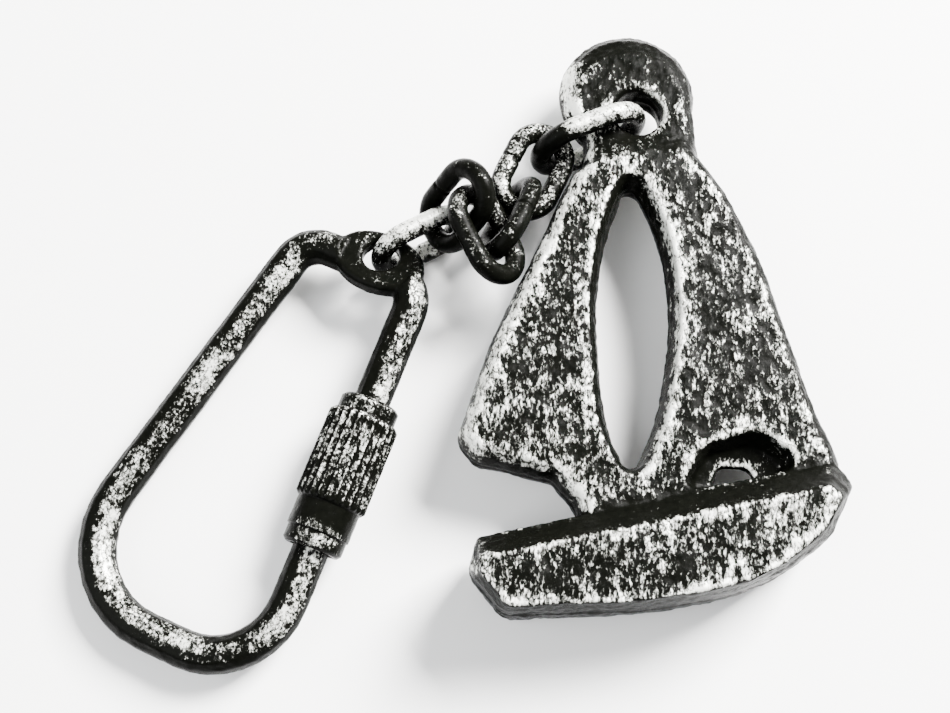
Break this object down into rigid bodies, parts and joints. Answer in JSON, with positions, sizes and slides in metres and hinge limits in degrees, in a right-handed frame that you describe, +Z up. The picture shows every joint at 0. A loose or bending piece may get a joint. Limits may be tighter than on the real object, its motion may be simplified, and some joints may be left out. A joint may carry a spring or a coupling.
{
  "type": "keychain",
  "caption": "Key chain with a cast-iron sailboat charm on a short chain of oval wire links and a wire clip closed by a screw sleeve.",
  "frame": {"origin": "middle of the base of the whole object's box, on the surface that it lies on", "axes": "+Z up from that surface, through the casting's thickness; +Y from the hull towards the masthead eye; +X to the boat's bow"},
  "size_m": [0.0694, 0.0622, 0.0111],
  "materials": {
    "cast_iron": "sand-cast, black with silver rubbed over its high spots",
    "link_wire": "glossy black with worn silver",
    "clip_wire": "glossy black with worn silver",
    "knurled_sleeve": "knurled, black with silver on its ridges"
  },
  "bodies": {
    "boat": {"sailboat": "cast_iron"},
    "link_1": {"chain_link_1": "link_wire"},
    "link_2": {"chain_link_2": "link_wire"},
    "link_3": {"chain_link_3": "link_wire"},
    "link_4": {"chain_link_4": "link_wire"},
    "link_5": {"chain_link_5": "link_wire"},
    "link_6": {"chain_link_6": "link_wire"},
    "clip": {"clip_ring": "clip_wire"},
    "sleeve": {"lock_sleeve": "knurled_sleeve"}
  },
  "joints": [
    {"name": "link_1_hinge", "type": "hinge", "parent": "boat", "child": "link_1", "pos_m": [0.01739, 0.02196, 0.005], "axis": [0, 0, 1], "range_deg": [-12, 0]},
    {"name": "link_2_hinge", "type": "hinge", "parent": "link_1", "child": "link_2", "pos_m": [0.00788, 0.01802, 0.005], "axis": [0, 0, 1], "range_deg": [-60, 0]},
    {"name": "link_3_hinge", "type": "hinge", "parent": "link_2", "child": "link_3", "pos_m": [0.00534, 0.0127, 0.005], "axis": [0.8718, -0.4158, -0.2588], "range_deg": [-24, 0]},
    {"name": "link_4_hinge", "type": "hinge", "parent": "link_3", "child": "link_4", "pos_m": [0.00336, 0.00744, 0.00681], "axis": [-0.5518, -0.0787, -0.8303], "range_deg": [-12, 4]},
    {"name": "link_5_hinge", "type": "hinge", "parent": "link_4", "child": "link_5", "pos_m": [0.00062, 0.01248, 0.00815], "axis": [0.62, 0.4984, -0.606], "range_deg": [-16, 0]},
    {"name": "link_6_hinge", "type": "hinge", "parent": "link_5", "child": "link_6", "pos_m": [-0.00246, 0.01062, 0.00348], "axis": [-0.5063, 0.8623, -0.0098], "range_deg": [0, 60]},
    {"name": "clip_hinge", "type": "hinge", "parent": "link_6", "child": "clip", "pos_m": [-0.00752, 0.00766, 0.00405], "axis": [0.0335, 0.2228, 0.9743], "range_deg": [-30, 12]},
    {"name": "sleeve_slide", "type": "slide", "parent": "clip", "child": "sleeve", "axis": [0.3547, 0.9342, 0.0394], "range_m": [0, 0.0083]}
  ]
}
